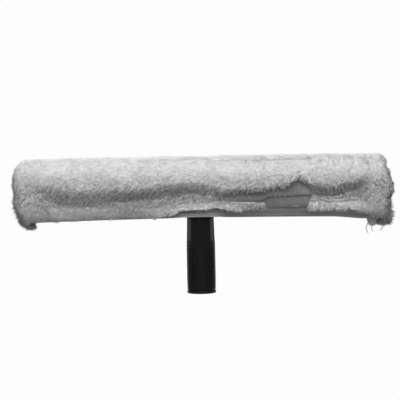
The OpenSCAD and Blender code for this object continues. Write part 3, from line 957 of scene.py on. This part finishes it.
# Painted shade on the seam's felt under the fibres
SEAM_SHADE = 0.85
SEAM_COUNT = 1400
SEAM_LENGTH = 6.5
SEAM_RADIUS = 0.26
SEAM_SUNK = 1.5


def seam_place(wall, side, over, v):
    """A point and its normal on the seam under an end, from the front (v 0) to the back (v 1)."""
    def edge(over, s):
        u = wall + side * over
        s = s + 0 * u
        return place(u, s, base_height(u, s, np.ones_like(u)))

    front, back = edge(over, S_LOW), edge(over, S_HIGH)
    across = back - front
    width = np.linalg.norm(across, axis=-1, keepdims=True)
    along = sum(edge(over + 0.3, s) - edge(over - 0.3, s) for s in (S_LOW, S_HIGH))
    out = unit(np.cross(along, across))
    out *= np.sign((out * [side, 0, -1]).sum(-1, keepdims=True))
    v = v[..., None]
    point = front + v * across + np.maximum(SEAM_BULGE * width, SEAM_LEAST) * np.sin(math.pi * v) * out
    return point, unit(out + (2 * v - 1) * 0.9 * unit(across))


def end_seam(label, wall, side):
    """The plush under an end, as a base and its fibres."""
    rows, columns = SEAM_GRID
    over, v = np.meshgrid(np.linspace(SEAM_START, SEAM_END, rows), np.linspace(0, 1, columns), indexing="ij")
    points, normals = seam_place(wall, side, over, v)
    quads = grid_quads(rows, columns, np.ones((rows - 1, columns - 1), bool))[:, ::-side]
    plane = np.stack([(over - SEAM_START) / (END_ARC - SEAM_START), v], axis=-1).reshape(-1, 2)
    base = mesh_object(
        label + "_base", points, quads, [], plush, plane[quads],
        normals=normals, tone_and_shade=np.full(over.size, SEAM_SHADE)
    )
    over = SEAM_START + (SEAM_END - SEAM_START) * (1 - np.sqrt(rng.random(SEAM_COUNT)))
    roots, normals = seam_place(wall, side, over, rng.random(SEAM_COUNT))
    first = unit(normals + 0.3 * rng.normal(size=roots.shape))
    last = unit(0.6 * normals + 0.7 * rng.normal(size=roots.shape))
    lengths = SEAM_LENGTH * (0.8 + 0.4 * rng.random(SEAM_COUNT))
    # Painted shade: the seam's fibres are darker at their roots, with tips a little uneven at random
    tones_and_shades = np.stack([np.full(SEAM_COUNT, 0.7), 0.9 + 0.1 * rng.random(SEAM_COUNT)])
    fibres = strands(
        label + "_fibres", roots - SEAM_SUNK * normals, normals, first, last, lengths,
        np.full(SEAM_COUNT, SEAM_RADIUS), tones_and_shades, 3, (0, 0.6)
    )
    return [base, fibres]


def build_plush():
    """The plush in pieces: lengths of sleeve, two ends, the flap and the seams under the ends."""
    cuts = np.linspace(LEFT_WALL, RIGHT_WALL, SECTIONS + 1)
    regions = {
        f"sleeve_plush_{k + 1}": (cuts[k:k + 2], (S_LOW, S_HIGH), root_mask) for k in range(SECTIONS)
    }
    regions["end_plush_left"] = ((LEFT_WALL - END_ARC, LEFT_WALL), (S_LOW, S_HIGH), hem_mask)
    regions["end_plush_right"] = ((RIGHT_WALL, RIGHT_WALL + END_ARC), (S_LOW, S_HIGH), hem_mask)
    regions["flap_plush"] = (
        (FLAP_LEFT, FLAP_RIGHT), (VALLEY_LEVEL, FLAP_PLUSH_TOP), flap_mask, LINING_FACE
    )
    pieces = {label: dress_plush(label, *region) for label, region in regions.items()}
    pieces["end_seam_left"] = end_seam("end_seam_left", LEFT_WALL, -1)
    pieces["end_seam_right"] = end_seam("end_seam_right", RIGHT_WALL, 1)
    for label, parts in pieces.items():
        for part in parts:
            if label != "flap_plush":
                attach(part, "root")
    for k in range(SECTIONS):
        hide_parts("sleeve_pile")
    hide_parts("sleeve_end_left")
    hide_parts("sleeve_end_right")
    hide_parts("closure_flap")
    return pieces


# Cloth pieces

TAPE_RIB = 1.7
TAPE_RIB_HEIGHT = 0.12
WELT = 1.2
WELT_LEVEL = 2.9
WELT_HALF = 1.3
GROOVE = 0.5
GROOVE_LEVEL = 6.6
STITCH = 2.3
STITCH_GAP = 1.1
THREAD_RADIUS = 0.28
LINING_TUCK = 1.3
LINING_THICKNESS = 0.8
LINING_MARGIN = 0.6
LINING_TOP = FOLD_LEVEL + 3
PUCKER = 0.22
PUCKER_PITCH = 3.9
PUCKER_FROM = 92.0
LOOP_THICKNESS = 1.4
LOOP_EDGE = 0.45
HOOK_BASE = 2.5
TAPE_RIGHT = 129.5
TAPE_LOW = 99.3
tape_left = course((98, 79), (101, 78.5), (109.5, 76.6), (113.5, 84), (116, 70), (130, 66))


def tape_height(u, s):
    """A woven tape with ribs along it, a welt above its lower edge and a groove near its upper edge."""
    height = height_of(s) - HEM_LEVEL
    ribs = TAPE_RIB_HEIGHT * np.cos(2 * math.pi * height / TAPE_RIB)
    welt = WELT * bump((height - WELT_LEVEL) / WELT_HALF)
    return HEM_TAPE + ribs + welt - GROOVE * bump(height - GROOVE_LEVEL)


def stitch_rows(name, rows, height, made):
    """Rows of stitches along the bar: each row is (first x, last x, s)."""
    starts, levels = [], []
    for first, last, s in rows:
        xs = np.arange(first, last - STITCH, STITCH + STITCH_GAP)
        starts.append(xs)
        levels.append(np.full(len(xs), s) + 0.12 * rng.normal(size=len(xs)))
    share = np.linspace(0, 1, 5)
    u = np.concatenate(starts)[:, None] + STITCH * share
    s = np.concatenate(levels)[:, None] + 0 * u
    arch = 0.5 * THREAD_RADIUS * np.sin(math.pi * share) - 0.1
    return tubes(name, on_cloth(u, s, height(u, s) + arch), THREAD_RADIUS, made)


def lining_height(u, s):
    """The lining's outer face, drawn into small upright puckers where it is sewn down."""
    pucker = PUCKER * np.sin(2 * math.pi * (u / PUCKER_PITCH + 0.25 * np.sin(u / 9)))
    pucker = pucker * ease((u - PUCKER_FROM) / 14)
    above = s - lining_edge(u)
    full = LINING_FACE + (pucker + 0.15 * np.sin(u / 6.1)) * ease(above / 3)
    return full - LINING_TUCK * (1 - ease(above / 3.5))


def build_lining():
    """The flap's lining: it shows below the plush's ragged edge."""
    rows = np.linspace(0, 1, 46)
    u = spaced(FLAP_LEFT + LINING_MARGIN, FLAP_RIGHT - LINING_MARGIN, 0.8)[:, None] + 0 * rows
    low = lining_edge(u)
    s = low + (LINING_TOP - low) * rows
    return sheet_solid(
        "flap_lining_cloth", (u, s), lambda u, s: lining_height(u, s) - LINING_THICKNESS, lining_height,
        lining_cloth
    )


def loop_height(u, s):
    """The loop tape, brushed in the middle and flat along its woven edges."""
    fluff = 0.1 * noise_over((u, s, 0), 1.6, 71) + 0.08 * noise_over((u, s, 0), 5, 72)
    edge = np.minimum(s - TAPE_LOW, PATCH_HIGH - s)
    return LOOP_THICKNESS - LOOP_EDGE * (1 - ease((edge - 1.6) / 0.8)) + fluff


def build_fasteners():
    """The loop tape on the sleeve and the hook tape on the flap, with its hooks."""
    rows = spaced(TAPE_LOW, PATCH_HIGH, 0.7)
    left = tape_left(rows)
    u = left + (TAPE_RIGHT - left) * np.linspace(0, 1, 80)[:, None]
    loops = sheet_solid("loop_tape", (u, rows + 0 * u), level(0), loop_height, loop_cloth)
    hooks = sheet_solid(
        "hook_tape", plain_grid(PATCH_LEFT, PATCH_RIGHT, VALLEY_LEVEL, PATCH_HIGH, 1.5, 1.0),
        level(HOOK_BASE), level(LINING_FACE - 0.3), hook_cloth
    )
    grid = plain_grid(PATCH_LEFT + 1, PATCH_RIGHT - 1, VALLEY_LEVEL + 1, PATCH_HIGH - 1, 1.3, 1.1)
    bend = np.array([0, 0, 0.12, 0.4, 0.55, 0.45])
    drop = np.array([0, 0.3, 0.55, 0.66, 0.5, 0.3])
    u, s = (part.ravel()[:, None] + 0 * bend for part in grid)
    y, z = skin(u, s, HOOK_BASE - drop + 0 * u)
    small_hooks = tubes("small_hooks", np.stack([u + bend, y, z], axis=-1), 0.11, hook_thread)
    return loops, hooks, small_hooks


CORNER_OVERLAP = 2.5
CORNER_WAVE = 0.9
FRAY_RADIUS = 0.16
CORNERS = {
    "left": [(-210.3, 86.5), (-209.2, 84.2), (-207.5, 83.2), (-203, 84), (-199.5, 86.4), (-196, 88.5)],
    "right": [
        (199.5, 86.5), (200.4, 81.5), (201.8, 78.6), (205.5, 76.6), (211, 78.2), (217.5, 80),
        (219.8, 82.5), (221, 86.5)
    ],
}
# Long loose threads at the right corner, as points (x, y, z)
LOOSE_THREADS = [
    [(200.6, 0, 80), (199.2, -0.8, 76.5), (198.6, -1.2, 73.8), (199.4, -1.4, 70.6), (201, -1.2, 67.4)],
    [(205.0, 0, 78), (205.3, -0.6, 75.4), (205.2, -1, 73.4), (205.6, -1, 71.5), (206.1, -0.8, 69.6)],
    [(219.8, 0, 83), (221.8, -0.4, 80.7), (224.2, -0.8, 79.4), (226.4, -1, 78.2), (228.3, -1, 77.3)],
    [(219.4, 0.3, 82), (220.8, 0.6, 79.2), (219.4, 0.9, 75.6), (217.4, 1, 72.8), (215.4, 1, 70.6)],
]


def corner_sheet(name, outline, made):
    """A rag of ground cloth that hangs from the hem's end: outline is a list of (x, low z)."""
    xs, lows = (np.array(column, float) for column in zip(*outline))
    u = spaced(xs[0], xs[-1], 0.5)
    low = np.interp(u, xs, lows)
    top = hem_at(u) + CORNER_OVERLAP
    rows = np.linspace(0, 1, 14)
    x = u[:, None] + 0 * rows
    z = low[:, None] + (top - low)[:, None] * rows
    hang = (top[:, None] - z) / 10
    y = CORNER_WAVE * np.sin(x / 3.1) * hang + 0.5 * np.sin(x / 1.3 + 1) * hang
    front = np.stack([x, y - CLOTH / 2, z], axis=-1)
    rag = two_faced(name, front, front + [0, CLOTH, 0], made)
    starts = np.stack([u, CORNER_WAVE * np.sin(u / 3.1) * (top - low) / 10, low + 0.4], axis=-1)
    starts = np.repeat(starts, 3, axis=0) + rng.normal(size=(3 * len(u), 3)) * [0.2, 0.35, 0.1]
    ways = rng.normal(size=starts.shape) * [0.55, 0.4, 0.25] + [0, 0, -1]
    lengths = 0.6 + 1.3 * rng.random(len(starts)) ** 2
    steps = np.linspace(0, 1, 4)[None, :, None]
    paths = starts[:, None] + unit(ways)[:, None] * lengths[:, None, None] * steps
    paths = paths + rng.normal(size=(len(starts), 1, 3)) * 0.25 * steps ** 2
    return [rag, tubes(name + "_fray", paths, FRAY_RADIUS, thread)]


def build_corners():
    """Both corners, each with its frayed edge, and the loose threads of the right one."""
    pieces = {
        "corner_" + side: corner_sheet(f"corner_{side}_cloth", outline, lit_corner_cloth)
        for side, outline in CORNERS.items()
    }
    paths = [smooth_path(points, 16) for points in LOOSE_THREADS]
    pieces["corner_right"].append(tubes("loose_threads", paths, 0.42, thread))
    return pieces


LINT_PLACE = (113.0, 102.6)
LINT_COUNT = 60


def build_lint():
    """A stray wisp of plush caught on the loop tape."""
    along = rng.random(LINT_COUNT) * 2 - 1
    u = LINT_PLACE[0] + 3.2 * along
    s = LINT_PLACE[1] + 0.5 * (1 - along ** 2) * rng.normal(size=LINT_COUNT)
    share = np.linspace(-1, 1, 6)
    us = u[:, None] + 1.4 * share
    ss = s[:, None] + 0.25 * share ** 2 * rng.normal(size=(LINT_COUNT, 1))
    n = LOOP_THICKNESS + 0.25 + 0.3 * rng.random((LINT_COUNT, 1)) * (1 - share ** 2)
    return tubes("lint", on_cloth(us, ss, n), 0.13, thread)


def dress_cloth():
    """Makes every cloth piece, hides the node it stands in for and attaches most pieces to the body that
    carries them.
    """
    cloth = sheet_solid(
        "sleeve_cloth", plain_grid(LEFT_WALL, RIGHT_WALL, S_LOW, S_HIGH, 2.2, 2.4),
        level(-CLOTH), level(0), ground_cloth
    )
    hems = []
    for name, low, high in (
        ("hem_tape_front", S_LOW, S_LOW + HEM_HEIGHT), ("hem_tape_back", S_HIGH - HEM_HEIGHT, S_HIGH)
    ):
        grid = plain_grid(LEFT_WALL, RIGHT_WALL, low, high, 2.2, 0.42)
        hems.append(sheet_solid(name, grid, level(0), tape_height, hem_cloth))
    front_hem, back_hem = hems
    seams = stitch_rows(
        "hem_stitches",
        [(LEFT_WALL, RIGHT_WALL, S_LOW + 2.6), (LEFT_WALL, RIGHT_WALL, S_HIGH - 2.6),
         (PATCH_LEFT - 40, PATCH_RIGHT + 8, S_LOW + 6.8)],
        tape_height, thread
    )
    loops, hooks, small_hooks = build_fasteners()
    loop_seams = stitch_rows(
        "loop_tape_stitches", [(80, TAPE_RIGHT, TAPE_LOW + 1), (86, TAPE_RIGHT, PATCH_HIGH - 1)],
        loop_height, thread
    )
    lining = build_lining()
    lining_seam = stitch_rows(
        "lining_stitches", [(FLAP_LEFT + 2, 74, 112.6), (84, FLAP_RIGHT - 2, 116.4)], lining_height, thread
    )
    corners = build_corners()
    lint = build_lint()
    hanging = [front_hem, back_hem, seams, *itertools.chain(*corners.values())]
    for piece in [cloth, loops, loop_seams, lint, *hanging]:
        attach(piece, "root")
    for piece in (hooks, small_hooks):
        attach(piece, "flap")
    for piece, node in (
        (cloth, "sleeve_backing"), (front_hem, "hem_front"), (back_hem, "hem_back"), (loops, "loop_patch"),
        (hooks, "hook_patch"), (lining, "flap_lining"), (corners["corner_left"][0], "corner_left"),
        (corners["corner_right"][0], "corner_right")
    ):
        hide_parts(node)
    lining_length = FLAP_RIGHT - FLAP_LEFT - 2 * LINING_MARGIN
    lining_flat = (lining_length * MM, (LINING_TOP - lining_edge(75.0)) * MM)
    return [lining, lining_seam]


# Stage: floor, light and world

FLOOR_DROP = 300.0
FLOOR_SIZE = 6000.0
WHITE = 0.982
ROOM_GREY = 0.055
FLOOR_GLOW = 0.4
# Distances in metres between which the floor fades to white
POOL_NEAR = 0.3
POOL_FAR = 0.65
# Place and size in metres, and power in watts
LIGHTS = {
    "top_light": ((0, -0.6, 1.2), (1.7, 1.0), 15.7),
    "front_light": ((0, -1.05, 0.75), (1.7, 0.7), 7.6),
    "back_light": ((0, 1.1, 0.5), (1.7, 0.6), 5),
}
# The point at which the lights aim, in metres
LIGHT_TARGET = Vector((0, 0, 0.12))


def seen_white(tree, other, seen, output):
    """Shows the shader seen to rays that see the background, and other to the rest."""
    path = tree.nodes.new("ShaderNodeLightPath")
    rays = path.outputs["Is Camera Ray"]
    for kind in ("Is Glossy Ray", "Is Transmission Ray"):
        rays = calculated(tree, "MAXIMUM", rays, path.outputs[kind])
    chosen = add_node(tree, "ShaderNodeMixShader", {"Fac": rays, 1: other, 2: seen})
    tree.links.new(chosen.outputs[0], output)


def glow(tree, kind, grey):
    return add_node(tree, kind, {"Color": (grey, grey, grey, 1), "Strength": 1}).outputs[0]


def add_world():
    """White where the camera sees it, and a dim grey room for all other light."""
    world = bpy.data.worlds.new("studio")
    bpy.context.scene.world = world
    world.use_nodes = True
    tree = world.node_tree
    room = tree.nodes["Background"]
    room.inputs["Color"].default_value = (ROOM_GREY, ROOM_GREY, ROOM_GREY, 1)
    white = glow(tree, "ShaderNodeBackground", WHITE)
    seen_white(tree, room.outputs[0], white, tree.nodes["World Output"].inputs["Surface"])


def add_floor():
    """A pale floor: it keeps the object's shadow near the object and fades to white around it."""
    made, tree, _ = shader_of("floor", (0.4, 0.4, 0.4), 0.9)
    matt = add_node(tree, "ShaderNodeBsdfDiffuse", {"Color": (0.85, 0.85, 0.85, 1)}).outputs[0]
    near = add_node(tree, "ShaderNodeAddShader", {0: matt, 1: glow(tree, "ShaderNodeEmission", FLOOR_GLOW)})
    away = add_node(tree, "ShaderNodeVectorMath", {0: object_coordinates(tree)}, operation="LENGTH")
    pool = {"Value": away.outputs["Value"], "From Min": POOL_NEAR, "From Max": POOL_FAR}
    share = add_node(tree, "ShaderNodeMapRange", pool, interpolation_type="SMOOTHSTEP").outputs["Result"]
    white = glow(tree, "ShaderNodeEmission", WHITE)
    faded = add_node(tree, "ShaderNodeMixShader", {"Fac": share, 1: near.outputs[0], 2: white})
    plain = tree.nodes["Principled BSDF"].outputs[0]
    seen_white(tree, plain, faded.outputs[0], tree.nodes["Material Output"].inputs["Surface"])
    half = FLOOR_SIZE / 2
    corners = [(-half, -half, 0), (half, -half, 0), (half, half, 0), (-half, half, 0)]
    floor = mesh_object("floor", corners, [[0, 1, 2, 3]], [], made, smooth=False)
    floor.location.z = -FLOOR_DROP * MM


def add_light(name, spot, size, power):
    data = bpy.data.lights.new(name, "AREA")
    data.shape = "RECTANGLE"
    data.size, data.size_y = size
    data.energy = power
    light = in_scene(name, data)
    light.location = spot
    light.rotation_euler = (LIGHT_TARGET - Vector(spot)).to_track_quat("-Z", "Y").to_euler()


def add_stage():
    add_world()
    add_floor()
    for name, settings in LIGHTS.items():
        add_light(name, *settings)
    bpy.context.scene.view_settings.view_transform = "Standard"


add_camera()
dress_nodes()
plush_pieces = build_plush()
bending = dress_cloth()
add_stage()

# The flap's plush, the lining and its stitches get their transforms baked into their meshes
for part in plush_pieces["flap_plush"] + bending:
    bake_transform(part)
